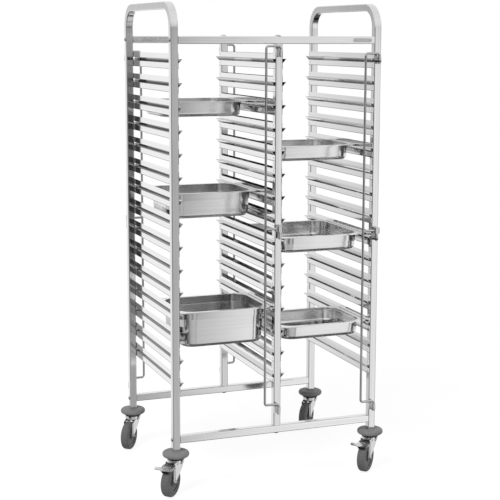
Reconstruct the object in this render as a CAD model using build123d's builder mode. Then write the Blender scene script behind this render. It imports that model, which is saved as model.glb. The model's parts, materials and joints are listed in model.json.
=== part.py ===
"""Two-bay tray trolley: square-tube frame, folded ledges, swinging rods, trays and braked casters.

Millimetres. X runs to the right, Y to the rear and Z up. The origin is on the floor under the middle.
"""
import math
import os

from build123d import *

# Square-tube frame
tube = 25.0
tube_wall = 1.5
tube_corner = 3.0
bay_width = 330.0
frame_depth = 550.0
upright_length = 1277.5
handle_rise = 121.0
handle_bend = 67.5

# Bolts and the plugs that they screw into
bolt_radius = 4.0
bolt_clearance = 0.2
thread_clearance = 0.05
side_head_radius = 7.5
side_head_height = 4.5
dome_head_radius = 12.5
dome_head_height = 5.0
bolt_grip = 22.0
plug_length = 30.0
plug_clearance = 0.05

# Ledges: folded sheet, welded to the faces of the uprights
level_count = 15
top_level_drop = 47.5
bottom_level_rise = 180.0
ledge_sheet = 1.0
ledge_shelf = 13.0
ledge_tip = 1.6
ledge_upper_flange = 17.0
ledge_lower_flange = 19.0
ledge_setback = 1.5

# Retaining rods and their sleeves
wire_radius = 4.0
wire_bend = 9.0
rod_offset = 50.0
mid_rod_drop = 19.0
side_rod_drop = 43.0
rod_foot_rise = 90.5
pin_stand_off = 12.0
pin_overhang = 3.0
pin_clearance = 0.05
sleeve_height = 22.0
sleeve_plate = 2.0
sleeve_wall = 2.4
seat_gap = 0.3
arm_short = 0.5
knuckle_width = 20.0
knuckle_depth = 16.0
knuckle_height = 20.0
knuckle_corner = 5.0

# Trays
pan_side_gap = 1.5
pan_body_gap = 2.0
pan_sheet = 1.0
pan_lip = 3.0
pan_lip_wall = 1.6
pan_rim_corner = 22.0
pan_body_corner = 52.0
pan_step = 2.0
pan_floor_radius = 15.0
pan_seam = 0.02
half_size_length = 265.0
two_thirds_length = 354.0

# Each tray: bay, level, length, depth, shoulder below the rim, wall slope in degrees, setback of its front
pan_places = {
    "pan_left_upper": (-1, 3, half_size_length, 52.0, 9.0, 3.0, 225.0),
    "pan_left_middle": (-1, 7, half_size_length, 87.0, 27.0, 3.0, 145.0),
    "pan_left_lower": (-1, 12, half_size_length, 122.0, 27.0, 3.0, 11.0),
    "pan_right_upper": (1, 5, half_size_length, 53.0, 9.0, 3.0, 117.0),
    "pan_right_middle": (1, 9, two_thirds_length, 57.0, 24.0, 3.0, 44.0),
    "pan_right_lower": (1, 13, half_size_length, 51.0, 9.0, 7.0, 13.0),
}

# Caster wheels
wheel_radius = 50.0
wheel_width = 28.0
tyre_depth = 13.0
tyre_shoulder = 7.0
tyre_foot = 2.5
core_fit = 0.05
rim_depth = 6.0
core_inset = 1.0
web_width = 22.0
hub_radius = 14.0
hub_play = 0.5
axle_radius = 4.0
axle_fit = 0.06
axle_head_radius = 7.5
axle_head_height = 4.5
nut_height = 6.0

# Caster forks and swivels
trail = 40.0
fork_sheet = 3.0
fork_clearance = 2.0
fork_boss = 11.0
fork_lead = 23.0
fork_tail = 22.0
fork_depth = 20.0
fork_shoulder = 7.0
fork_corner = 11.0
crown_gap = 3.0
crown_thickness = 3.0
crown_radius = 27.0
race_radius = 24.0
race_height = 4.0
race_gap = 0.4
ball_circle = 18.0
ball_radius = 2.5
ball_clearance = 0.25
ball_count = 14
head_radius = 28.5
head_height = 7.6
head_edge = 2.0
head_gap = 1.5
kingpin_radius = 5.0
kingpin_fit = 0.06
rivet_radius = 8.5
rivet_height = 4.0
rivet_gap = 0.4
seal_radius = 31.0
seal_height = 6.0
seal_edge = 1.5
stem_radius = 6.0
stem_fit = 0.05
stem_insert = 33.0
socket_length = 40.0
bumper_radius = 44.5
bumper_height = 18.0
bumper_floor = 8.0
bumper_edge = 8.5
bumper_fit = 0.1
bumper_to_bar = 27.0

# Foot brakes of the front casters
pedal_sheet = 2.2
pivot_setback = 4.0
pivot_rise = 8.0
pivot_radius = 2.5
pivot_fit = 0.06
barrel_radius = 3.5
lug_radius = 6.5
pedal_slope = 16.0
pedal_neck_gap = 0.5
pedal_neck = 9.0
pedal_length = 48.0
pedal_width = 44.0
pedal_corner = 9.0
tab_reach = 43.0
tab_width = 14.0
tab_place = 36.0
dimple_length = 28.0
dimple_width = 14.0
dimple_depth = 0.9
block_gap = 5.8
block_width = 24.0
block_start = 25.0
block_length = 22.0
block_depth = 17.0
block_fit = 0.05

# Each caster: side, end and the way its wheel trails, in degrees from +X
caster_places = {
    "front_left": (-1, -1, 226.2),
    "front_right": (1, -1, 222.6),
    "rear_left": (-1, 1, 231.9),
    "rear_right": (1, 1, 226.0),
}
braked_casters = ("front_left", "front_right")

# Heights in a caster, from the floor up
crown_low = 2 * wheel_radius + crown_gap
crown_top = crown_low + crown_thickness
race_top = crown_top + race_height
head_low = race_top + race_gap
head_top = head_low + head_height
ball_height = (race_top + head_low) / 2
bumper_low = head_top + seal_height
bumper_top = bumper_low + bumper_height
leg_foot = bumper_low + bumper_floor

# Frame heights and centre lines
bottom_bar_height = bumper_top + bumper_to_bar + tube / 2
top_bar_height = bottom_bar_height + tube + upright_length
upright_low = bottom_bar_height + tube / 2
upright_high = top_bar_height - tube / 2
handle_top = top_bar_height + handle_rise
frame_width = 2 * bay_width + 3 * tube
leg_x = (frame_width - tube) / 2
leg_y = (frame_depth - tube) / 2
bar_length = frame_width - 2 * tube
bay_centre = (bay_width + tube) / 2
plug_size = tube - 2 * tube_wall - 2 * plug_clearance

# Levels
top_level = upright_high - top_level_drop
bottom_level = upright_low + bottom_level_rise
level_pitch = (top_level - bottom_level) / (level_count - 1)

# Rods: the X of the upright, the face that carries the rod (-1 front, 1 rear) and the height of the top arm
pin_y = frame_depth / 2 + pin_stand_off
mid_rod_top = top_bar_height - mid_rod_drop
side_rod_top = top_bar_height - side_rod_drop
rod_height = mid_rod_top - bottom_bar_height - rod_foot_rise
sleeve_drop = max(knuckle_height / 2, wire_bend) + seat_gap
pin_drop = sleeve_drop + sleeve_height + pin_overhang
rod_places = {
    "front_mid_rod": (0.0, -1, mid_rod_top),
    "front_right_rod": (leg_x, -1, side_rod_top),
    "rear_left_rod": (-leg_x, 1, side_rod_top),
    "rear_mid_rod": (0.0, 1, mid_rod_top),
}

# Trays between the ledges of a bay
pan_width = bay_width - 2 * ledge_sheet - 2 * pan_side_gap
pan_rim = ledge_shelf + pan_body_gap - ledge_sheet - pan_side_gap

# Widths across a fork and the pivot of a pedal
fork_inner = wheel_width + 2 * fork_clearance
fork_outer = fork_inner + 2 * fork_sheet
core_radius = wheel_radius - tyre_depth
pivot_reach = trail - pivot_setback
pivot_height = 2 * wheel_radius + pivot_rise

pieces = {}


def level_height(level):
    """Height of a level's shelf face, counted from 1 at the top."""
    return top_level - level_pitch * (level - 1)


def arm_heights(top):
    """Heights of a rod's top, middle and bottom arms."""
    return (top, top - rod_height / 2, top - rod_height)


def tube_section():
    """Square tube section, added to the open sketch."""
    RectangleRounded(tube, tube, tube_corner)
    inner = tube - 2 * tube_wall
    RectangleRounded(inner, inner, tube_corner - tube_wall, mode=Mode.SUBTRACT)


def side_frame(x):
    """Inverted U of tube: front leg, bent handle and rear leg, drilled for the side bolts."""
    with BuildPart() as frame:
        with BuildLine(Plane.YZ.offset(x)):
            FilletPolyline(
                (-leg_y, leg_foot),
                (-leg_y, handle_top - tube / 2),
                (leg_y, handle_top - tube / 2),
                (leg_y, leg_foot),
                radius=handle_bend,
            )
        with BuildSketch(Plane(origin=(x, -leg_y, leg_foot), x_dir=(1, 0, 0), z_dir=(0, 0, 1))):
            tube_section()
        sweep()
        for height in (top_bar_height, bottom_bar_height):
            for y in (-leg_y, leg_y):
                with BuildSketch(Plane(origin=(x, y, height), x_dir=(0, 1, 0), z_dir=(1, 0, 0))):
                    Circle(bolt_radius + bolt_clearance)
                extrude(amount=tube, both=True, mode=Mode.SUBTRACT)
    return frame.part


def cross_bar(y, height):
    """Bar between the legs, drilled at the middle for the bolt of an upright."""
    with BuildPart() as bar:
        with BuildSketch(Plane(origin=(0, y, height), x_dir=(0, 1, 0), z_dir=(1, 0, 0))):
            tube_section()
        extrude(amount=bar_length / 2, both=True)
        with BuildSketch(Plane(origin=(0, y, height), x_dir=(1, 0, 0), z_dir=(0, 0, 1))):
            Circle(bolt_radius + bolt_clearance)
        extrude(amount=tube, both=True, mode=Mode.SUBTRACT)
    return bar.part


def mid_upright(y):
    """Tube between the bottom bar and the top bar."""
    with BuildPart() as upright:
        with BuildSketch(Plane(origin=(0, y, upright_low), x_dir=(1, 0, 0), z_dir=(0, 0, 1))):
            tube_section()
        extrude(amount=upright_length)
    return upright.part


def tray_levels(bay):
    """Levels of a bay that carry trays."""
    return [place[1] for place in pan_places.values() if place[0] == bay]


def free_levels(bay):
    """Levels of a bay that stand empty."""
    return [level for level in range(1, level_count + 1) if level not in tray_levels(bay)]


def ledge_column(face_x, side, levels):
    """Ledges of one face at some levels: upper flange, shelf, sloping return and lower flange."""
    apex = ledge_shelf + ledge_tip
    slant = ledge_sheet * math.sqrt(2)
    foot = ledge_sheet - apex - ledge_lower_flange
    with BuildPart() as ledges:
        for level in levels:
            face = Plane(origin=(face_x, 0, level_height(level)), x_dir=(side, 0, 0), z_dir=(0, -side, 0))
            with BuildSketch(face):
                with BuildLine():
                    Polyline(
                        (0, ledge_upper_flange),
                        (ledge_sheet, ledge_upper_flange),
                        (ledge_sheet, 0),
                        (ledge_shelf - ledge_tip / 2, 0),
                        (ledge_shelf, -ledge_tip),
                        (ledge_sheet, ledge_sheet - apex),
                        (ledge_sheet, foot),
                        (0, foot),
                        (0, slant - apex),
                        (apex - slant - ledge_sheet, -ledge_sheet),
                        (0, -ledge_sheet),
                        close=True,
                    )
                make_face()
            extrude(amount=frame_depth / 2 - ledge_setback, both=True)
    return ledges.part


def mid_tray_ledges():
    """Ledges on both sides of the middle uprights that carry trays."""
    with BuildPart() as ledges:
        add(ledge_column(-tube / 2, -1, tray_levels(-1)))
        add(ledge_column(tube / 2, 1, tray_levels(1)))
    return ledges.part


def domed_bolt(seat, radius, height):
    """Domed bolt on a seat plane whose normal points out of the head."""
    dome = (radius**2 + height**2) / (2 * height)
    shank = -tube - bolt_grip
    with BuildPart() as bolt:
        with BuildSketch(Plane(origin=seat.origin, x_dir=seat.x_dir, z_dir=seat.y_dir * -1)):
            with BuildLine():
                Polyline((0, height), (0, shank), (bolt_radius, shank), (bolt_radius, 0), (radius, 0))
                RadiusArc((radius, 0), (0, height), -dome)
            make_face()
        revolve(axis=Axis(seat.origin, seat.z_dir))
    return bolt.part


def side_bolts():
    """Bolts through the legs into the ends of the bars."""
    with BuildPart() as bolts:
        for side in (-1, 1):
            for y in (-leg_y, leg_y):
                for height in (top_bar_height, bottom_bar_height):
                    outside = (side * frame_width / 2, y, height)
                    seat = Plane(origin=outside, x_dir=(0, 1, 0), z_dir=(side, 0, 0))
                    add(domed_bolt(seat, side_head_radius, side_head_height))
    return bolts.part


def upright_bolts():
    """Bolts through the top and bottom bars into the ends of the middle uprights."""
    with BuildPart() as bolts:
        for y in (-leg_y, leg_y):
            for height, up in ((top_bar_height, 1), (bottom_bar_height, -1)):
                seat = Plane(origin=(0, y, height + up * tube / 2), x_dir=(1, 0, 0), z_dir=(0, 0, up))
                add(domed_bolt(seat, dome_head_radius, dome_head_height))
    return bolts.part


def square_plug(mouth, length, bore):
    """Bored square plug that runs inwards from the mouth of a tube."""
    with BuildPart() as plug:
        with BuildSketch(mouth):
            RectangleRounded(plug_size, plug_size, tube_corner - tube_wall)
            Circle(bore, mode=Mode.SUBTRACT)
        extrude(amount=length)
    return plug.part


def tube_end_plugs():
    """Threaded plugs in both ends of each bar and of each middle upright."""
    bore = bolt_radius + thread_clearance
    with BuildPart() as plugs:
        for y in (-leg_y, leg_y):
            for height in (top_bar_height, bottom_bar_height):
                for side in (-1, 1):
                    end = (side * bar_length / 2, y, height)
                    mouth = Plane(origin=end, x_dir=(0, 1, 0), z_dir=(-side, 0, 0))
                    add(square_plug(mouth, plug_length, bore))
            for height, up in ((upright_low, 1), (upright_high, -1)):
                end = (0, y, height)
                mouth = Plane(origin=end, x_dir=(1, 0, 0), z_dir=(0, 0, up))
                add(square_plug(mouth, plug_length, bore))
    return plugs.part


def caster_sockets():
    """Plugs in the feet of the legs, which hold the stems of the casters."""
    with BuildPart() as sockets:
        for side, end, _ in caster_places.values():
            foot = (side * leg_x, end * leg_y, leg_foot)
            mouth = Plane(origin=foot, x_dir=(1, 0, 0), z_dir=(0, 0, 1))
            add(square_plug(mouth, socket_length, stem_radius + stem_fit))
    return sockets.part


def rod_sleeves():
    """Sleeves for the pins of the rods, each on a plate against its upright, one under each arm."""
    bore = wire_radius + pin_clearance
    boss = bore + sleeve_wall
    with BuildPart() as sleeves:
        for x, face, top in rod_places.values():
            for arm in arm_heights(top):
                wall = (x, face * frame_depth / 2, arm - sleeve_drop)
                with BuildSketch(Plane(origin=wall, x_dir=(1, 0, 0), z_dir=(0, 0, 1))):
                    with Locations((0, face * sleeve_plate / 2)):
                        Rectangle(tube, sleeve_plate)
                    with Locations((0, face * pin_stand_off / 2)):
                        Rectangle(2 * boss, pin_stand_off)
                    with Locations((0, face * pin_stand_off)):
                        Circle(boss)
                        Circle(bore, mode=Mode.SUBTRACT)
                extrude(amount=-sleeve_height)
    return sleeves.part


def retaining_rod(x, face, top):
    """Bent wire: a long bar with three arms that end in pins, and a knuckle over the middle pin."""
    bar_x = face * rod_offset
    high, middle, low = arm_heights(top)
    pins = Plane(origin=(x, face * pin_y, 0), x_dir=(1, 0, 0), z_dir=(0, -1, 0))
    pin_foot = Plane(origin=(x, face * pin_y, high - pin_drop), x_dir=(1, 0, 0), z_dir=(0, 0, 1))
    pin_middle = Plane(origin=(x, face * pin_y, middle), x_dir=(1, 0, 0), z_dir=(0, 0, 1))
    arm_start = Plane(origin=(x, face * pin_y, middle), x_dir=(0, 1, 0), z_dir=(face, 0, 0))
    with BuildPart() as rod:
        with BuildLine(pins):
            FilletPolyline(
                (0, high - pin_drop),
                (0, high),
                (bar_x, high),
                (bar_x, low),
                (0, low),
                (0, low - pin_drop),
                radius=wire_bend,
            )
        with BuildSketch(pin_foot):
            Circle(wire_radius)
        sweep()
        with BuildSketch(arm_start):
            Circle(wire_radius)
        extrude(amount=rod_offset - arm_short)
        with BuildSketch(pin_middle):
            Circle(wire_radius)
        extrude(amount=-pin_drop)
        with BuildSketch(pin_middle):
            RectangleRounded(knuckle_width, knuckle_depth, knuckle_corner)
        extrude(amount=knuckle_height / 2, both=True)
    return rod.part


def pan_form(centre, inset, length, depth, shoulder, slope):
    """Outside of a tray's body, or its hollow where inset is the thickness of the sheet."""
    wide = pan_width - 2 * (pan_rim + inset)
    long = length - 2 * (pan_rim + inset)
    corner = pan_body_corner - inset
    mouth = Plane(origin=centre, x_dir=(1, 0, 0), z_dir=(0, 0, -1))
    with BuildPart() as form:
        with BuildSketch(mouth):
            RectangleRounded(wide, long, corner)
        extrude(amount=shoulder - inset)
        with BuildSketch(mouth.offset(shoulder - inset)):
            RectangleRounded(wide - 2 * pan_step, long - 2 * pan_step, corner - pan_step)
        extrude(amount=depth - shoulder, taper=slope)
        fillet(form.faces().sort_by(Axis.Z)[0].edges(), pan_floor_radius - inset)
    return form.part


def tray(bay, level, length, depth, shoulder, slope, setback):
    """Tray: drawn body with a lipped rim, a shoulder and a rounded floor edge, and a floor panel in it."""
    rim_top = level_height(level) + seat_gap + pan_lip
    centre = (bay * bay_centre, setback + length / 2 - frame_depth / 2, rim_top)
    rim = Plane(origin=centre, x_dir=(1, 0, 0), z_dir=(0, 0, -1))
    body = pan_form(centre, 0.0, length, depth, shoulder, slope)
    hollow = pan_form(centre, pan_sheet, length, depth, shoulder, slope)
    narrowing = pan_rim + pan_step + (depth - shoulder) * math.tan(math.radians(slope)) + pan_floor_radius
    floor_wide = pan_width - 2 * narrowing
    floor_long = length - 2 * narrowing
    floor_corner = pan_body_corner - pan_step - pan_floor_radius
    with BuildPart() as pan:
        with BuildSketch(rim):
            RectangleRounded(pan_width, length, pan_rim_corner)
        extrude(amount=pan_lip)
        with BuildSketch(rim.offset(pan_sheet)):
            inner = pan_rim_corner - pan_lip_wall
            RectangleRounded(pan_width - 2 * pan_lip_wall, length - 2 * pan_lip_wall, inner)
        extrude(amount=pan_lip - pan_sheet, mode=Mode.SUBTRACT)
        add(body)
        add(hollow, mode=Mode.SUBTRACT)
        with BuildSketch(rim.offset(depth)):
            RectangleRounded(floor_wide + 2 * pan_seam, floor_long + 2 * pan_seam, floor_corner + pan_seam)
        extrude(amount=-pan_sheet, mode=Mode.SUBTRACT)
        with BuildSketch(rim.offset(depth)):
            RectangleRounded(floor_wide, floor_long, floor_corner)
        extrude(amount=-pan_sheet)
    return pan.part


def caster_axes(place):
    """Foot of a caster's swivel axis on the floor, the way its wheel trails and the way its axle runs."""
    side, end, turn = caster_places[place]
    along = Vector(math.cos(math.radians(turn)), math.sin(math.radians(turn)), 0)
    across = Vector(-along.Y, along.X, 0)
    return Vector(side * leg_x, end * leg_y, 0), along, across


def caster_point(place, reach, height):
    """Point in a caster's middle plane, at a reach along its trail and a height above the floor."""
    foot, along, _ = caster_axes(place)
    return foot + along * reach + Vector(0, 0, height)


def side_plane(place):
    """Plane through a caster's swivel axis, with its X along the trail and its Y up."""
    foot, along, across = caster_axes(place)
    return Plane(origin=foot, x_dir=along, z_dir=across * -1)


def level_plane(place, height):
    """Level plane on a caster's swivel axis, with its X along the trail."""
    foot, along, _ = caster_axes(place)
    return Plane(origin=foot + Vector(0, 0, height), x_dir=along, z_dir=(0, 0, 1))


def axle_plane(place):
    """Plane through a wheel's axle, with its X along the axle and its Y up."""
    _, along, across = caster_axes(place)
    return Plane(origin=caster_point(place, trail, wheel_radius), x_dir=across, z_dir=along)


def bumper(place):
    """Soft ring around the foot of a leg, with a square pocket for the tube."""
    with BuildPart() as ring:
        with BuildSketch(level_plane(place, bumper_low)):
            Circle(bumper_radius)
            Circle(stem_radius + bumper_fit, mode=Mode.SUBTRACT)
        extrude(amount=bumper_height)
        outer = ring.edges().filter_by(GeomType.CIRCLE).sort_by(SortBy.RADIUS)[-2:]
        fillet(outer, bumper_edge)
        foot, _, _ = caster_axes(place)
        pocket = Plane(origin=foot + Vector(0, 0, leg_foot), x_dir=(1, 0, 0), z_dir=(0, 0, 1))
        with BuildSketch(pocket):
            RectangleRounded(tube + 2 * bumper_fit, tube + 2 * bumper_fit, tube_corner + bumper_fit)
        extrude(amount=bumper_height, mode=Mode.SUBTRACT)
    return ring.part


def seal(place):
    """Ring between a bumper and its swivel head."""
    with BuildPart() as ring:
        with BuildSketch(level_plane(place, head_top)):
            Circle(seal_radius)
        extrude(amount=seal_height)
        chamfer(ring.edges().filter_by(GeomType.CIRCLE), seal_edge)
        with BuildSketch(level_plane(place, head_top)):
            Circle(stem_radius + bumper_fit)
        extrude(amount=seal_height, mode=Mode.SUBTRACT)
    return ring.part


def swivel_seals():
    """Rings of all the casters."""
    with BuildPart() as rings:
        for place in caster_places:
            add(seal(place))
    return rings.part


def ball_ring(place):
    """Ring that the balls of a swivel run in, to be cut from the head and from the fork."""
    foot, _, _ = caster_axes(place)
    with BuildPart() as ring:
        with BuildSketch(side_plane(place)):
            with Locations((ball_circle, ball_height)):
                Circle(ball_radius + ball_clearance)
        revolve(axis=Axis(foot, (0, 0, 1)))
    return ring.part


def swivel_head(place):
    """Turned head that stays with the leg: stem, flange and kingpin with its riveted end."""
    rivet_top = crown_low - rivet_gap
    foot, _, _ = caster_axes(place)
    with BuildPart() as head:
        with BuildSketch(side_plane(place)):
            with BuildLine():
                Polyline(
                    (0, rivet_top - rivet_height),
                    (rivet_radius, rivet_top - rivet_height),
                    (rivet_radius, rivet_top),
                    (kingpin_radius, rivet_top),
                    (kingpin_radius, head_low),
                    (head_radius, head_low),
                    (head_radius, head_top - head_edge),
                    (head_radius - head_edge, head_top),
                    (stem_radius, head_top),
                    (stem_radius, leg_foot + stem_insert),
                    (0, leg_foot + stem_insert),
                    close=True,
                )
            make_face()
        revolve(axis=Axis(foot, (0, 0, 1)))
        add(ball_ring(place), mode=Mode.SUBTRACT)
    return head.part


def swivel_balls():
    """Bearing balls between the swivel heads and the forks."""
    with BuildPart() as balls:
        for place in caster_places:
            foot, _, _ = caster_axes(place)
            for step in range(ball_count):
                turn = 2 * math.pi * step / ball_count
                offset = Vector(ball_circle * math.cos(turn), ball_circle * math.sin(turn), ball_height)
                with Locations(foot + offset):
                    Sphere(ball_radius)
    return balls.part


def fork(place):
    """Pressed fork: crown with a race, wrapped wall and two legs, with lugs for a pedal where braked."""
    side = side_plane(place)
    wall = fork_lead - fork_sheet
    hub = (trail, wheel_radius)
    pivot = (pivot_reach, pivot_height)
    far = 4 * wheel_radius
    with BuildPart() as yoke:
        with BuildSketch(side):
            with BuildLine():
                Polyline(
                    (-fork_lead, crown_top - fork_depth),
                    (-fork_lead, crown_top),
                    (fork_tail, crown_top),
                    (trail + fork_boss, crown_low - fork_shoulder),
                )
                CenterArc(hub, fork_boss, 0, 360)
            make_hull()
        extrude(amount=fork_outer / 2, both=True)
        fillet(yoke.edges().filter_by(Axis.Z), fork_corner)
        if place in braked_casters:
            lug_height = pivot_height - crown_low + fork_shoulder
            with BuildSketch(side):
                with Locations((pivot_reach, pivot_height - lug_height / 2)):
                    Rectangle(2 * lug_radius, lug_height)
                with Locations(pivot):
                    Circle(lug_radius)
            extrude(amount=fork_outer / 2, both=True)
        with BuildSketch(side):
            with Locations((far / 2 - wall, crown_low / 2)):
                Rectangle(far, crown_low)
            with Locations((crown_radius + far / 2, far / 2)):
                Rectangle(far, far)
        extrude(amount=fork_inner / 2, both=True, mode=Mode.SUBTRACT)
        with BuildSketch(level_plane(place, crown_top)):
            Circle(head_radius + head_gap)
        extrude(amount=wheel_radius, mode=Mode.SUBTRACT)
        with BuildSketch(level_plane(place, crown_low)):
            Circle(crown_radius)
        extrude(amount=crown_thickness)
        with BuildSketch(level_plane(place, crown_top)):
            Circle(race_radius)
        extrude(amount=race_height)
        with BuildSketch(level_plane(place, crown_low)):
            Circle(kingpin_radius + kingpin_fit)
        extrude(amount=wheel_radius, mode=Mode.SUBTRACT)
        add(ball_ring(place), mode=Mode.SUBTRACT)
        with BuildSketch(side):
            with Locations(hub):
                Circle(axle_radius + thread_clearance)
            if place in braked_casters:
                with Locations(pivot):
                    Circle(pivot_radius + pivot_fit)
        extrude(amount=fork_outer, both=True, mode=Mode.SUBTRACT)
    return yoke.part


def axle(place):
    """Axle bolt across the fork, with its domed head on the outer side and a nut on the other."""
    _, _, across = caster_axes(place)
    hub = caster_point(place, trail, wheel_radius)
    reach = fork_outer / 2
    dome = (axle_head_radius**2 + axle_head_height**2) / (2 * axle_head_height)
    with BuildPart() as bolt:
        with BuildSketch(axle_plane(place)):
            with BuildLine():
                Polyline(
                    (reach + axle_head_height, 0),
                    (-reach - nut_height, 0),
                    (-reach - nut_height, axle_radius),
                    (reach, axle_radius),
                    (reach, axle_head_radius),
                )
                RadiusArc((reach, axle_head_radius), (reach + axle_head_height, 0), dome)
            make_face()
        revolve(axis=Axis(hub, across))
        with BuildSketch(Plane(origin=hub - across * reach, x_dir=(0, 0, 1), z_dir=across * -1)):
            RegularPolygon(axle_head_radius, 6)
            Circle(axle_radius + thread_clearance, mode=Mode.SUBTRACT)
        extrude(amount=nut_height)
    return bolt.part


def wheel(place):
    """Wheel core: hub, web and rim, turned about the axle."""
    _, _, across = caster_axes(place)
    hub = caster_point(place, trail, wheel_radius)
    hub_half = fork_inner / 2 - hub_play
    web_half = web_width / 2
    rim_half = wheel_width / 2 - core_inset
    rim_inside = core_radius - rim_depth
    with BuildPart() as core:
        with BuildSketch(axle_plane(place)):
            with Locations((0, (axle_radius + axle_fit + hub_radius) / 2)):
                Rectangle(2 * hub_half, hub_radius - axle_radius - axle_fit)
            with Locations((0, (hub_radius + rim_inside) / 2)):
                Rectangle(2 * web_half, rim_inside - hub_radius)
            with Locations((0, rim_inside + (rim_depth - core_fit) / 2)):
                Rectangle(2 * rim_half, rim_depth - core_fit)
        revolve(axis=Axis(hub, across))
    return core.part


def tyre(place):
    """Tyre with rounded shoulders and a chamfered foot on the rim of the wheel."""
    _, _, across = caster_axes(place)
    hub = caster_point(place, trail, wheel_radius)
    with BuildPart() as ring:
        with BuildSketch(axle_plane(place)) as section:
            with Locations((0, core_radius + tyre_depth / 2)):
                Rectangle(wheel_width, tyre_depth)
            fillet(section.vertices().group_by(Axis.Y)[-1], tyre_shoulder)
            chamfer(section.vertices().group_by(Axis.Y)[0], tyre_foot)
        revolve(axis=Axis(hub, across))
    return ring.part


def slope_plane(place, rise):
    """Plane along a pedal's blade, a rise above its pivot, with its X along the blade and its Y across."""
    _, along, _ = caster_axes(place)
    slope = math.radians(pedal_slope)
    normal = along * math.sin(slope) + Vector(0, 0, math.cos(slope))
    down = along * math.cos(slope) - Vector(0, 0, math.sin(slope))
    pivot = caster_point(place, pivot_reach, pivot_height)
    return Plane(origin=pivot + normal * rise, x_dir=down, z_dir=normal)


def pedal(place):
    """Pressed pedal: pivot pin with a barrel, neck, rounded blade with an oval dimple and a side tab."""
    _, _, across = caster_axes(place)
    pivot = caster_point(place, pivot_reach, pivot_height)
    neck_width = fork_inner - 2 * pedal_neck_gap
    blade = pedal_length - pedal_neck
    with BuildPart() as lever:
        with BuildSketch(slope_plane(place, barrel_radius)):
            with Locations((pedal_neck / 2 + pedal_corner / 2, 0)):
                Rectangle(pedal_neck + pedal_corner, neck_width)
            with Locations((pedal_neck + blade / 2, 0)):
                RectangleRounded(blade, pedal_width, pedal_corner)
            with Locations((tab_place, tab_width / 4 - tab_reach / 2)):
                Rectangle(tab_width, tab_reach - tab_width / 2)
            with Locations((tab_place, tab_width / 2 - tab_reach)):
                Circle(tab_width / 2)
        extrude(amount=-pedal_sheet)
        with BuildSketch(slope_plane(place, barrel_radius)):
            with Locations((pedal_neck + blade / 2, 0)):
                Ellipse(dimple_width / 2, dimple_length / 2)
        extrude(amount=-dimple_depth, mode=Mode.SUBTRACT)
        with BuildSketch(Plane(origin=pivot, x_dir=(0, 0, 1), z_dir=across)):
            Circle(barrel_radius)
        extrude(amount=neck_width / 2, both=True)
        with BuildSketch(Plane(origin=pivot, x_dir=(0, 0, 1), z_dir=across)):
            Circle(pivot_radius)
        extrude(amount=fork_outer / 2, both=True)
    return lever.part


def brake_block(place):
    """Block under the blade of a pedal, hollowed to the round of the tyre."""
    _, _, across = caster_axes(place)
    hub = caster_point(place, trail, wheel_radius)
    with BuildPart() as block:
        with BuildSketch(slope_plane(place, barrel_radius - pedal_sheet - block_fit)):
            with Locations((block_start + block_length / 2, 0)):
                Rectangle(block_length, block_width)
        extrude(amount=-block_depth)
        with BuildSketch(Plane(origin=hub, x_dir=(0, 0, 1), z_dir=across)):
            Circle(wheel_radius + block_gap)
        extrude(amount=block_width, both=True, mode=Mode.SUBTRACT)
    return block.part


# Frame
pieces["left_side_frame"] = side_frame(-leg_x)
pieces["right_side_frame"] = side_frame(leg_x)
pieces["front_mid_upright"] = mid_upright(-leg_y)
pieces["rear_mid_upright"] = mid_upright(leg_y)
pieces["top_front_bar"] = cross_bar(-leg_y, top_bar_height)
pieces["top_rear_bar"] = cross_bar(leg_y, top_bar_height)
pieces["bottom_front_bar"] = cross_bar(-leg_y, bottom_bar_height)
pieces["bottom_rear_bar"] = cross_bar(leg_y, bottom_bar_height)
pieces["side_bolts"] = side_bolts()
pieces["upright_bolts"] = upright_bolts()
pieces["tube_end_plugs"] = tube_end_plugs()
pieces["caster_sockets"] = caster_sockets()

# Ledges on both sides of each bay
pieces["left_frame_ledges"] = ledge_column(tube / 2 - leg_x, 1, free_levels(-1))
pieces["mid_left_ledges"] = ledge_column(-tube / 2, -1, free_levels(-1))
pieces["mid_right_ledges"] = ledge_column(tube / 2, 1, free_levels(1))
pieces["right_frame_ledges"] = ledge_column(leg_x - tube / 2, -1, free_levels(1))
pieces["left_frame_tray_ledges"] = ledge_column(tube / 2 - leg_x, 1, tray_levels(-1))
pieces["mid_tray_ledges"] = mid_tray_ledges()
pieces["right_frame_tray_ledges"] = ledge_column(leg_x - tube / 2, -1, tray_levels(1))

# Retaining rods
pieces["rod_sleeves"] = rod_sleeves()
for name, (x, face, top) in rod_places.items():
    pieces[name] = retaining_rod(x, face, top)

# Trays
for name, sizes in pan_places.items():
    pieces[name] = tray(*sizes)

# Casters
pieces["swivel_balls"] = swivel_balls()
pieces["swivel_seals"] = swivel_seals()
for place in caster_places:
    pieces[place + "_bumper"] = bumper(place)
    pieces[place + "_head"] = swivel_head(place)
    pieces[place + "_fork"] = fork(place)
    pieces[place + "_axle"] = axle(place)
    pieces[place + "_wheel"] = wheel(place)
    pieces[place + "_tyre"] = tyre(place)
for place in braked_casters:
    pieces[place + "_pedal"] = pedal(place)
    pieces[place + "_brake_block"] = brake_block(place)

os.makedirs("parts", exist_ok=True)
for name, piece in pieces.items():
    piece.label = name
    export_step(piece, f"parts/{name}.step")
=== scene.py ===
"""Looks of the two-bay tray trolley: steel, rubber, weld spots, a bare plate, light and the photograph's view.

Metres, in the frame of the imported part: X to the right, Y to the rear and Z up from the floor.
"""

import json
import math

import bmesh
import bpy
from mathutils import Matrix, Vector


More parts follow.
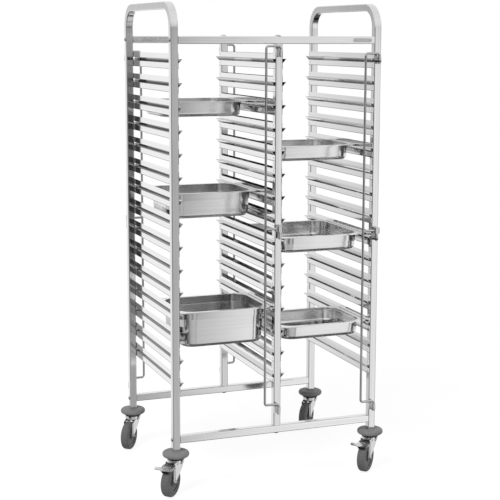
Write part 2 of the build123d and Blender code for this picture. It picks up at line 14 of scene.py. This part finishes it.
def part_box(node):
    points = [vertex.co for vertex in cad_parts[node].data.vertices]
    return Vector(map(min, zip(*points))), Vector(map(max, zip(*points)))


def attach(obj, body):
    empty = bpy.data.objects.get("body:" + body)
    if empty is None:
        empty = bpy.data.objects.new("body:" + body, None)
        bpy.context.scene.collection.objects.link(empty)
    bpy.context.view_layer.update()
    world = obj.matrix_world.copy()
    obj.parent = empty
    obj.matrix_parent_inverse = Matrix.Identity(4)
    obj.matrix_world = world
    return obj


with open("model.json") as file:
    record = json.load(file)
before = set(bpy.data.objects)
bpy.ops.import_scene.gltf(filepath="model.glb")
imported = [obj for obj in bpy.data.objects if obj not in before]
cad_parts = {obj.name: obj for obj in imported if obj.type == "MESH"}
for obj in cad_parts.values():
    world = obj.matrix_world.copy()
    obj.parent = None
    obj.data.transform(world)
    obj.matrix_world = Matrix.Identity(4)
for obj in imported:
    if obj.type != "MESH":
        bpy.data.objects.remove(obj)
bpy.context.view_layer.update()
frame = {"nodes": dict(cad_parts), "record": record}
nodes = frame["nodes"]
record = frame["record"]

# View of the photograph: place, turn to the right, tilt down, roll, focal length and frame in pixels, shift
CAMERA_PLACE = (-1.5662, -4.1353, 1.4948)
CAMERA_YAW = math.radians(20.798)
CAMERA_TILT = math.radians(8.41)
CAMERA_ROLL = math.radians(-0.144)
FOCAL_PIXELS = 1274.3
FRAME_PIXELS = 500
SENSOR_WIDTH = 36.0
LENS_SHIFT_Y = -0.05

# Ledges, as built: levels, their pitch, the top shelf, flanges, drop from a shelf to the lower edge, sheet
LEVELS = 15
LEVEL_PITCH = 0.075
TOP_LEVEL = 1.424
UPPER_FLANGE = 0.017
LOWER_FLANGE = 0.019
LEDGE_DROP = 0.0326
LEDGE_SHEET = 0.001

# Painted shade of a ledge, dark at its lower edge, in its fold and at its nose: share of its brightness by the
# height above its lower edge, with slack below that edge
LEDGE_PAINTED_SHADE = [
    (0.0, 0.22), (0.0016, 0.22), (0.00175, 1.0), (0.0190, 1.0), (0.0194, 0.25), (0.0258, 0.25), (0.0272, 1.0),
    (0.0308, 1.0), (0.0310, 0.42), (0.0322, 0.42), (0.03235, 1.0),
]
FOOT_SLACK = 0.0002

# Distance of the uprights' centres from the middle, to the front and to the rear
LEG_CENTRE_Y = 0.2625

# Faces that meet at less than this angle are shaded as one round face
SMOOTH_ANGLE = math.radians(32)

# Range in which most of a noise value lies
NOISE_RANGE = (0.3, 0.7)

# Brushed steel: scale of the clouds, noise values of dark and light grain, spread of the polish, grooves
STEEL_CLOUDS = 7.0
GRAIN_DARK = 0.32
GRAIN_LIGHT = 0.62
POLISH_LOW = 0.8
POLISH_HIGH = 1.25
GROOVE_STRENGTH = 0.15
GROOVE_DEPTH = 0.00001

# Moulded rubber and plastic: scale of dust and of stipple, spread of tone and polish, strength of stipple
DUST_SCALE = 14.0
STIPPLE_SCALE = 420.0
DUST_DARK = 0.88
DUST_LIGHT = 1.08
DULL_LOW = 0.85
DULL_HIGH = 1.15
STIPPLE_STRENGTH = 0.3

# Scale of a steel's grain across its lines and along them
ACROSS = 340.0
ALONG = 3.0

# Colour sockets of a Mix node: the two colours and the result
MIX_FIRST = 6
MIX_SECOND = 7
MIX_RESULT = 2

WHITE = (1.0, 1.0, 1.0, 1.0)


def new_material(name):
    """Material with an empty tree, its output and its shader."""
    material = bpy.data.materials.new(name)
    material.use_nodes = True
    tree = material.node_tree
    tree.nodes.clear()
    output = tree.nodes.new("ShaderNodeOutputMaterial")
    shader = tree.nodes.new("ShaderNodeBsdfPrincipled")
    tree.links.new(shader.outputs["BSDF"], output.inputs["Surface"])
    return material, tree, shader


def noise(tree, scale, detail, stretch=(1.0, 1.0, 1.0)):
    """Noise in the part's own frame, stretched along an axis where a grain runs."""
    place = tree.nodes.new("ShaderNodeTexCoord")
    mapping = tree.nodes.new("ShaderNodeMapping")
    mapping.inputs["Scale"].default_value = stretch
    texture = tree.nodes.new("ShaderNodeTexNoise")
    texture.inputs["Scale"].default_value = scale
    texture.inputs["Detail"].default_value = detail
    tree.links.new(place.outputs["Object"], mapping.inputs["Vector"])
    tree.links.new(mapping.outputs["Vector"], texture.inputs["Vector"])
    return texture.outputs["Fac"]


def coordinates(tree, kind):
    """X, Y and Z of a place in one kind of texture coordinates."""
    place = tree.nodes.new("ShaderNodeTexCoord")
    apart = tree.nodes.new("ShaderNodeSeparateXYZ")
    tree.links.new(place.outputs[kind], apart.inputs["Vector"])
    return apart.outputs


def grey(level):
    """Grey of one level."""
    return (level, level, level)


def ramp(tree, value, stops):
    """Colour ramp over a value, from (position, colour) stops."""
    node = tree.nodes.new("ShaderNodeValToRGB")
    elements = node.color_ramp.elements
    for index, (position, colour) in enumerate(stops):
        element = elements[index] if index < 2 else elements.new(position)
        element.position = position
        element.color = (*colour, 1.0)
    tree.links.new(value, node.inputs["Fac"])
    return node.outputs["Color"]


def remap(tree, value, source, target=(0.0, 1.0), clamp=True):
    """A value taken from one range to another."""
    node = tree.nodes.new("ShaderNodeMapRange")
    node.clamp = clamp
    node.inputs["From Min"].default_value = source[0]
    node.inputs["From Max"].default_value = source[1]
    node.inputs["To Min"].default_value = target[0]
    node.inputs["To Max"].default_value = target[1]
    tree.links.new(value, node.inputs["Value"])
    return node.outputs["Result"]


def maths(tree, kind, first, second=0.0):
    """Arithmetic on a socket and a second socket or number."""
    node = tree.nodes.new("ShaderNodeMath")
    node.operation = kind
    tree.links.new(first, node.inputs[0])
    if isinstance(second, float):
        node.inputs[1].default_value = second
    else:
        tree.links.new(second, node.inputs[1])
    return node.outputs["Value"]


def blend(tree, kind, first, second):
    """Two colours multiplied, screened or subtracted."""
    node = tree.nodes.new("ShaderNodeMix")
    node.data_type = "RGBA"
    node.blend_type = kind
    node.inputs["Factor"].default_value = 1.0
    tree.links.new(first, node.inputs[MIX_FIRST])
    tree.links.new(second, node.inputs[MIX_SECOND])
    return node.outputs[MIX_RESULT]


def mix_shaders(tree, part, first, second):
    """Two shaders mixed by the part of the second."""
    node = tree.nodes.new("ShaderNodeMixShader")
    tree.links.new(part, node.inputs["Fac"])
    tree.links.new(first, node.inputs[1])
    tree.links.new(second, node.inputs[2])
    return node.outputs["Shader"]


def bump(tree, shader, value, strength, distance):
    """Relief from a value."""
    node = tree.nodes.new("ShaderNodeBump")
    node.inputs["Strength"].default_value = strength
    node.inputs["Distance"].default_value = distance
    tree.links.new(value, node.inputs["Height"])
    tree.links.new(node.outputs["Normal"], shader.inputs["Normal"])
    return node


def swell(tree, relief, rise):
    """Slight outward swell of a drawn sheet between its edges, under another relief."""
    place = coordinates(tree, "Generated")
    squares = []
    for axis in ("X", "Y"):
        centred = maths(tree, "SUBTRACT", place[axis], 0.5)
        squares.append(maths(tree, "MULTIPLY", centred, centred))
    crown = bump(tree, relief, maths(tree, "ADD", *squares), 1.0, rise)
    crown.invert = True


def steel(name, level, rough, grain, streak=0.12, rise=0.0):
    """Brushed steel: a grain in its tone and relief, faint clouds in its polish, and a swell of a rise."""
    material, tree, shader = new_material(name)
    clouds = noise(tree, STEEL_CLOUDS, detail=3.0)
    lines = noise(tree, scale=1.0, detail=4.0, stretch=grain)
    tone = ramp(tree, lines, [(GRAIN_DARK, grey(level * (1 - streak))), (GRAIN_LIGHT, grey(level))])
    tree.links.new(tone, shader.inputs["Base Color"])
    polish = remap(tree, clouds, NOISE_RANGE, (rough * POLISH_LOW, rough * POLISH_HIGH))
    tree.links.new(polish, shader.inputs["Roughness"])
    shader.inputs["Metallic"].default_value = 1.0
    grooves = bump(tree, shader, lines, GROOVE_STRENGTH, GROOVE_DEPTH)
    if rise:
        swell(tree, grooves, rise)
    return material


def paint_ledge_shade(material):
    """Painted shade on every ledge, dark at its cut lower edge, in its fold and at its nose, by its height in
    the pitch of the levels.
    """
    tree = material.node_tree
    shader = next(node for node in tree.nodes if node.type == "BSDF_PRINCIPLED")
    tone = shader.inputs["Base Color"].links[0].from_socket
    foot = TOP_LEVEL - LEDGE_DROP - FOOT_SLACK
    height = coordinates(tree, "Object")["Z"]
    pitches = remap(tree, height, (foot, foot + LEVEL_PITCH), clamp=False)
    stops = [((height + FOOT_SLACK) / LEVEL_PITCH, grey(level)) for height, level in LEDGE_PAINTED_SHADE]
    shade = ramp(tree, maths(tree, "FRACT", pitches), stops)
    tree.links.new(blend(tree, "MULTIPLY", tone, shade), shader.inputs["Base Color"])


def moulded(name, level, rough, relief):
    """Moulded rubber or plastic with a fine stipple and faint dusty clouds."""
    material, tree, shader = new_material(name)
    clouds = noise(tree, DUST_SCALE, detail=4.0)
    stipple = noise(tree, STIPPLE_SCALE, detail=2.0)
    tones = [grey(level * DUST_DARK), grey(level * DUST_LIGHT)]
    tree.links.new(ramp(tree, clouds, list(zip(NOISE_RANGE, tones))), shader.inputs["Base Color"])
    polish = remap(tree, stipple, NOISE_RANGE, (rough * DULL_LOW, rough * DULL_HIGH))
    tree.links.new(polish, shader.inputs["Roughness"])
    bump(tree, shader, stipple, STIPPLE_STRENGTH, relief)
    return material


# Looks: name, brightness and roughness, then the grain's scale along X, Y and Z, or the depth of the stipple
looks = {
    "frame_upright": steel("frame_upright", 0.78, 0.10, (ACROSS, ACROSS, ALONG)),
    "frame_bar": steel("frame_bar", 0.86, 0.10, (ALONG, ACROSS, ACROSS)),
    "ledge_steel": steel("ledge_steel", 0.84, 0.09, (ACROSS, ALONG, ACROSS), streak=0.06),
    "rod_steel": steel("rod_steel", 0.58, 0.12, (ACROSS, ACROSS, ALONG)),
    "pan_steel": steel("pan_steel", 0.84, 0.19, (ALONG, ALONG, 2 * ACROSS), streak=0.08, rise=0.010),
    "bolt_steel": steel("bolt_steel", 0.56, 0.22, (ACROSS, ACROSS, ACROSS)),
    "caster_steel": steel("caster_steel", 0.78, 0.12, (ACROSS, ACROSS, 30 * ALONG)),
    "plate_steel": steel("plate_steel", 0.62, 0.32, (ALONG, ACROSS, ACROSS)),
    "bumper_rubber": moulded("bumper_rubber", 0.19, 0.5, 0.00008),
    "tyre_rubber": moulded("tyre_rubber", 0.12, 0.55, 0.00008),
    "wheel_plastic": moulded("wheel_plastic", 0.10, 0.45, 0.00005),
    "seal_plastic": moulded("seal_plastic", 0.015, 0.4, 0.00004),
    "brake_rubber": moulded("brake_rubber", 0.012, 0.5, 0.00006),
}
# Painted shade in the ledges' folds, at their noses and along their lower edges
paint_ledge_shade(looks["ledge_steel"])

# A slot has the look of its own name, but the frame's depends on how its tube lies
slot_look = {"frame_steel": "frame_upright"}
lying_bars = ("top_front_bar", "top_rear_bar", "bottom_front_bar", "bottom_rear_bar")


def dress(obj, look):
    """Gives an object one look and smooths its round faces."""
    obj.data.materials.clear()
    obj.data.materials.append(looks[look])
    obj.data.polygons.foreach_set("use_smooth", [True] * len(obj.data.polygons))
    obj.data.set_sharp_from_angle(angle=SMOOTH_ANGLE)


for part in record["subparts"]:
    slot = part["material_slot"]
    look = "frame_bar" if part["node"] in lying_bars else slot_look.get(slot, slot)
    dress(nodes[part["node"]], look)


def new_piece(name, work, look):
    """Finished mesh as a piece that rides on the frame."""
    mesh = bpy.data.meshes.new(name)
    work.to_mesh(mesh)
    work.free()
    obj = bpy.data.objects.new(name, mesh)
    bpy.context.scene.collection.objects.link(obj)
    dress(obj, look)
    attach(obj, "frame")


# Spot welds: small shallow domes where each flange lies on its upright
SPOT_RADIUS = 0.0026
SPOT_HEIGHT = 0.0006
SPOT_SIDES = 12
# Rings of a dome, by the share of its radius and of its height
SPOT_RINGS = ((1.0, 0.0), (0.6, 0.75))
# Place of a spot on the upper flange and on the lower one, as a share of the flange above its lower end
UPPER_SPOT = 0.55
LOWER_SPOT = 0.5


def add_spot(work, centre, out):
    """Shallow dome on a face whose normal is out."""
    turn = Vector((0, 0, 1)).rotation_difference(out).to_matrix()
    rings = []
    for share, height in SPOT_RINGS:
        ring = []
        for step in range(SPOT_SIDES):
            angle = 2 * math.pi * step / SPOT_SIDES
            local = Vector((math.cos(angle) * share * SPOT_RADIUS, math.sin(angle) * share * SPOT_RADIUS,
                            height * SPOT_HEIGHT))
            ring.append(work.verts.new(centre + turn @ local))
        rings.append(ring)
    top = work.verts.new(centre + out * SPOT_HEIGHT)
    for step in range(SPOT_SIDES):
        after = (step + 1) % SPOT_SIDES
        work.faces.new((rings[0][step], rings[0][after], rings[1][after], rings[1][step]))
        work.faces.new((rings[1][step], rings[1][after], top))


def weld_spots(column, side):
    """Spots on both flanges of every ledge in a column, at its front and rear uprights."""
    low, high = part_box(column)
    face_x = (low.x if side > 0 else high.x) + side * LEDGE_SHEET
    pitch = (high.z - low.z - UPPER_FLANGE - LEDGE_DROP) / (LEVELS - 1)
    work = bmesh.new()
    for level in range(LEVELS):
        shelf = high.z - UPPER_FLANGE - pitch * level
        upper = shelf + UPPER_FLANGE * UPPER_SPOT
        lower = shelf - LEDGE_DROP + LOWER_FLANGE * LOWER_SPOT
        for y in (-LEG_CENTRE_Y, LEG_CENTRE_Y):
            for height in (upper, lower):
                add_spot(work, Vector((face_x, y, height)), Vector((side, 0, 0)))
    new_piece("spots_" + column, work, "bolt_steel")


for column, side in (("left_frame_ledges", 1), ("mid_left_ledges", -1), ("mid_right_ledges", 1),
                     ("right_frame_ledges", -1)):
    weld_spots(column, side)

# Bare plate on the front of the top bar, held by two rivets
PLATE_CENTRE_X = 0.298
PLATE_SIZE = (0.066, 0.013)
PLATE_CORNER = 0.003
PLATE_DEPTH = 0.0008
PLATE_EDGE = 0.0004
CORNER_STEPS = 4


def plate_outline(inset):
    """Points of the plate's rounded outline, moved in by an inset."""
    points = []
    radius = PLATE_CORNER - inset
    for quarter, (side_x, side_z) in enumerate(((1, 1), (-1, 1), (-1, -1), (1, -1))):
        centre_x = side_x * (PLATE_SIZE[0] / 2 - PLATE_CORNER)
        centre_z = side_z * (PLATE_SIZE[1] / 2 - PLATE_CORNER)
        for step in range(CORNER_STEPS + 1):
            angle = math.pi / 2 * (quarter + step / CORNER_STEPS)
            points.append((centre_x + radius * math.cos(angle), centre_z + radius * math.sin(angle)))
    return points


def name_plate():
    """Thin plate with a broken edge and two rivet heads."""
    low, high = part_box("top_front_bar")
    centre = Vector((PLATE_CENTRE_X, low.y, (low.z + high.z) / 2))
    out = Vector((0, -1, 0))
    work = bmesh.new()
    loops = []
    for inset, depth in ((0.0, 0.0), (0.0, PLATE_DEPTH - PLATE_EDGE), (PLATE_EDGE, PLATE_DEPTH)):
        loops.append([work.verts.new(centre + Vector((x, -depth, z))) for x, z in plate_outline(inset)])
    for first, second in zip(loops, loops[1:]):
        for step in range(len(first)):
            after = (step + 1) % len(first)
            work.faces.new((first[step], first[after], second[after], second[step]))
    work.faces.new(loops[-1])
    for side in (-1, 1):
        shift = Vector((side * (PLATE_SIZE[0] / 2 - 2 * PLATE_CORNER), 0, 0))
        add_spot(work, centre + shift + out * PLATE_DEPTH, out)
    bmesh.ops.recalc_face_normals(work, faces=work.faces)
    new_piece("name_plate", work, "plate_steel")


name_plate()

# Floor: size, drop below the wheels, speckle and its greys, glow and its share, radii between which it fades
FLOOR_SIZE = 8.0
FLOOR_DROP = 0.0005
FLOOR_SPECKLE = 30.0
FLOOR_GREYS = (0.86, 0.9)
FLOOR_GLOW = 1.12
FLOOR_GLOW_SHARE = 0.78
FLOOR_FADE = (1.2, 3.2)


def pale_floor():
    """Floor that keeps the shadow, glows to the camera only and fades out so that it shows no edge."""
    bpy.ops.mesh.primitive_plane_add(size=FLOOR_SIZE, location=(0, 0, -FLOOR_DROP))
    floor = bpy.context.object
    floor.name = "floor"
    material = bpy.data.materials.new("pale_floor")
    material.use_nodes = True
    tree = material.node_tree
    tree.nodes.clear()
    output = tree.nodes.new("ShaderNodeOutputMaterial")
    diffuse = tree.nodes.new("ShaderNodeBsdfDiffuse")
    speckle = noise(tree, FLOOR_SPECKLE, detail=3.0)
    tones = [grey(level) for level in FLOOR_GREYS]
    tree.links.new(ramp(tree, speckle, list(zip(NOISE_RANGE, tones))), diffuse.inputs["Color"])
    glow = tree.nodes.new("ShaderNodeEmission")
    glow.inputs["Color"].default_value = WHITE
    glow.inputs["Strength"].default_value = FLOOR_GLOW
    seen = tree.nodes.new("ShaderNodeLightPath")
    glow_share = maths(tree, "MULTIPLY", seen.outputs["Is Camera Ray"], FLOOR_GLOW_SHARE)
    lit = mix_shaders(tree, glow_share, diffuse.outputs["BSDF"], glow.outputs["Emission"])
    clear = tree.nodes.new("ShaderNodeBsdfTransparent")
    place = tree.nodes.new("ShaderNodeTexCoord")
    length = tree.nodes.new("ShaderNodeVectorMath")
    length.operation = "LENGTH"
    tree.links.new(place.outputs["Object"], length.inputs[0])
    fade = remap(tree, length.outputs["Value"], FLOOR_FADE)
    tree.links.new(mix_shaders(tree, fade, lit, clear.outputs["BSDF"]), output.inputs["Surface"])
    floor.data.materials.append(material)
    floor.visible_glossy = False


pale_floor()

# Room that the steel reflects: brightness by the direction in degrees, from the front (-Y) towards the right
ROOM_WALLS = [
    (-180, 1.00), (-158, 1.00), (-153, 0.68), (-100, 0.62), (-86, 0.62), (-80, 0.05), (-48, 0.05), (-40, 0.40),
    (-15, 0.60), (8, 0.55), (10, 0.42), (16.4, 0.44), (17.3, 0.56), (18.1, 0.70), (19, 0.80), (20, 0.86),
    (22, 0.92), (24, 1.00), (48, 0.95), (55, 0.05), (82, 0.05), (88, 0.85), (150, 0.85), (156, 1.00),
    (180, 1.00),
]
# Share of the walls' brightness, and the ceiling's own, by the height of the direction
ROOM_HEIGHTS = [
    (-1.0, 0.10), (-0.72, 0.10), (-0.48, 1.0), (-0.015, 1.0), (0.03, 0.62), (0.45, 0.60), (1.0, 0.30),
]
ROOM_CEILING = [(-1.0, 0.0), (0.03, 0.0), (0.10, 0.40), (0.20, 0.70), (0.30, 0.85), (1.0, 0.90)]
# Dark things before the walls, by direction and by height: two at the front, and one low at the rear
DARK_THINGS = [
    ([(-180, 0.0), (-26, 0.0), (-24, 0.95), (-9, 0.95), (-7, 0.0), (8.5, 0.0), (9.5, 0.95), (16.0, 0.95),
      (16.9, 0.0), (180, 0.0)],
     [(-1.0, 0.0), (-0.23, 0.0), (-0.20, 1.0), (-0.03, 1.0), (-0.015, 0.0), (1.0, 0.0)]),
    ([(-180, 0.95), (-165, 0.95), (-163, 0.0), (178, 0.0), (180, 0.95)],
     [(-1.0, 0.0), (-0.72, 0.0), (-0.68, 1.0), (-0.31, 1.0), (-0.28, 0.0), (1.0, 0.0)]),
]
# Strength of the room in the steel, of the soft light on the rubber and the floor, and of the camera's white
ROOM_LIGHT = 1.0
SOFT_LIGHT = 0.50
CAMERA_WHITE = 1.0


def by_bearing(tree, bearing, stops):
    """Brightness by the direction round the part, from (degrees, brightness) stops."""
    stops = [((degrees + 180) / 360, grey(level)) for degrees, level in stops]
    return ramp(tree, remap(tree, bearing, (-math.pi, math.pi)), stops)


def by_height(tree, rise, stops):
    """Brightness by the height of the direction, from (height, brightness) stops."""
    stops = [((height + 1) / 2, grey(level)) for height, level in stops]
    return ramp(tree, remap(tree, rise, (-1.0, 1.0)), stops)


def room_colour(tree):
    """Colour of the room in each direction: walls, the dark things before them, and the ceiling."""
    way = coordinates(tree, "Generated")
    bearing = maths(tree, "ARCTAN2", way["X"], maths(tree, "MULTIPLY", way["Y"], -1.0))
    rise = way["Z"]
    walls = blend(tree, "MULTIPLY", by_bearing(tree, bearing, ROOM_WALLS), by_height(tree, rise, ROOM_HEIGHTS))
    for bearings, heights in DARK_THINGS:
        thing = blend(tree, "MULTIPLY", by_bearing(tree, bearing, bearings), by_height(tree, rise, heights))
        walls = blend(tree, "SUBTRACT", walls, blend(tree, "MULTIPLY", walls, thing))
    return blend(tree, "SCREEN", walls, by_height(tree, rise, ROOM_CEILING))


def background(tree, strength):
    """White background of a strength."""
    node = tree.nodes.new("ShaderNodeBackground")
    node.inputs["Color"].default_value = WHITE
    node.inputs["Strength"].default_value = strength
    return node


def studio_world():
    """World that is white to the camera, a room to the steel, and soft light to the rest."""
    world = bpy.data.worlds.new("studio")
    bpy.context.scene.world = world
    world.use_nodes = True
    tree = world.node_tree
    tree.nodes.clear()
    output = tree.nodes.new("ShaderNodeOutputWorld")
    path = tree.nodes.new("ShaderNodeLightPath").outputs
    room = background(tree, ROOM_LIGHT)
    tree.links.new(room_colour(tree), room.inputs["Color"])
    soft = background(tree, SOFT_LIGHT)
    white = background(tree, CAMERA_WHITE)
    light = mix_shaders(tree, path["Is Glossy Ray"], soft.outputs["Background"], room.outputs["Background"])
    seen = mix_shaders(tree, path["Is Camera Ray"], light, white.outputs["Background"])
    tree.links.new(seen, output.inputs["Surface"])


studio_world()

# Lamps: the point they face, and their side
LAMP_TARGET = (0.0, 0.0, 0.85)
LAMP_SIZE = 1.8


def area_light(name, place, power):
    """Soft square lamp that faces the trolley and isn't reflected in it."""
    data = bpy.data.lights.new(name, "AREA")
    data.shape = "SQUARE"
    data.size = LAMP_SIZE
    data.energy = power
    lamp = bpy.data.objects.new(name, data)
    bpy.context.scene.collection.objects.link(lamp)
    lamp.location = place
    lamp.rotation_euler = (Vector(LAMP_TARGET) - Vector(place)).to_track_quat("-Z", "Y").to_euler()
    lamp.visible_glossy = False


area_light("key", place=(-2.2, -1.6, 3.4), power=105.0)
area_light("fill", place=(2.6, -1.2, 2.2), power=20.0)


def photo_camera():
    """Camera at the photograph's view."""
    level = math.cos(CAMERA_TILT)
    right = Vector((math.cos(CAMERA_YAW), -math.sin(CAMERA_YAW), 0.0))
    forward = Vector((math.sin(CAMERA_YAW) * level, math.cos(CAMERA_YAW) * level, -math.sin(CAMERA_TILT)))
    down = forward.cross(right)
    rolled_right = math.cos(CAMERA_ROLL) * right + math.sin(CAMERA_ROLL) * down
    rolled_down = -math.sin(CAMERA_ROLL) * right + math.cos(CAMERA_ROLL) * down
    data = bpy.data.cameras.new("camera")
    camera = bpy.data.objects.new("camera", data)
    bpy.context.scene.collection.objects.link(camera)
    turn = Matrix((rolled_right, -rolled_down, -forward)).transposed()
    camera.matrix_world = Matrix.Translation(CAMERA_PLACE) @ turn.to_4x4()
    data.sensor_width = SENSOR_WIDTH
    data.lens = FOCAL_PIXELS * SENSOR_WIDTH / FRAME_PIXELS
    data.shift_y = LENS_SHIFT_Y
    bpy.context.scene.camera = camera


photo_camera()
bpy.context.scene.view_settings.view_transform = "Standard"
